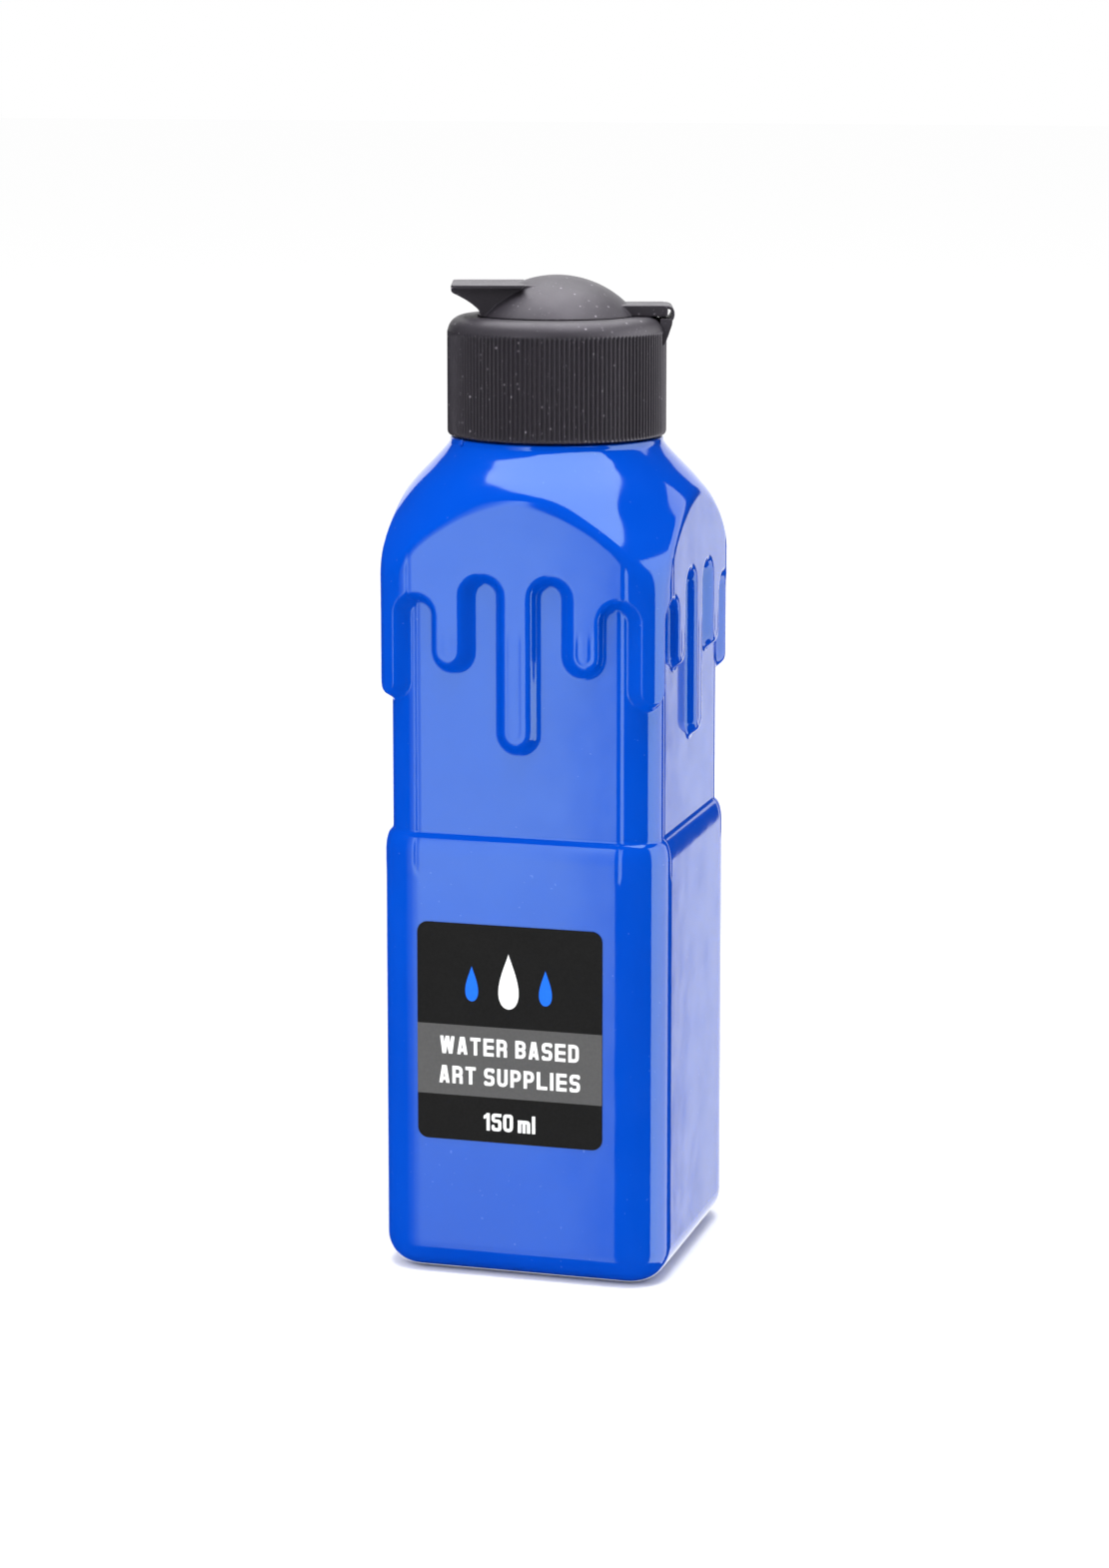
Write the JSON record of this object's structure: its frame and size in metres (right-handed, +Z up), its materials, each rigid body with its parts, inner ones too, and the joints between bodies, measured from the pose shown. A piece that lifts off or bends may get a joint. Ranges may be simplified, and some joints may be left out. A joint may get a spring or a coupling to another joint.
{
  "type": "paint squeeze bottle",
  "caption": "Square squeeze bottle of acrylic paint with raised running-paint relief and a screw-on flip-top dispensing cap.",
  "frame": {"origin": "on the table under the bottle's axis, at the base plane", "axes": "+Z up along the bottle's axis, front label on the -Y face, +X to the viewer's right"},
  "size_m": [0.0414, 0.0414, 0.1387],
  "materials": {
    "blue_plastic": "gloss",
    "blue_paint": "wet gloss",
    "foil": "satin",
    "label_film": "printed",
    "foam": "matte",
    "black_plastic": "matte"
  },
  "bodies": {
    "bottle": {"bottle": "blue_plastic", "paint_fill": "blue_paint", "induction_seal": "foil", "front_label": "label_film", "rear_label": "label_film"},
    "gasket": {"neck_gasket": "foam"},
    "cap": {"cap_base": "black_plastic", "hinge_film": "black_plastic"},
    "lid": {"flip_lid": "black_plastic"}
  },
  "joints": [
    {"name": "cap_lift", "type": "slide", "parent": "bottle", "child": "gasket", "axis": [0, 0, 1], "range_m": [0, 0.00634]},
    {"name": "cap_turn", "type": "hinge", "parent": "gasket", "child": "cap", "pos_m": [0, 0, 0.1235], "axis": [0, 0, 1], "range_deg": [0, 540]},
    {"name": "lid_flip", "type": "hinge", "parent": "cap", "child": "lid", "pos_m": [0.01549, 0.00438, 0.1333], "axis": [-0.2723, 0.9622, 0], "range_deg": [0, 180], "deforming": ["hinge_film"]}
  ],
  "couplings": [
    {"joint": "cap_lift", "follows": "cap_turn", "m_per_rad": 0.00067322}
  ]
}
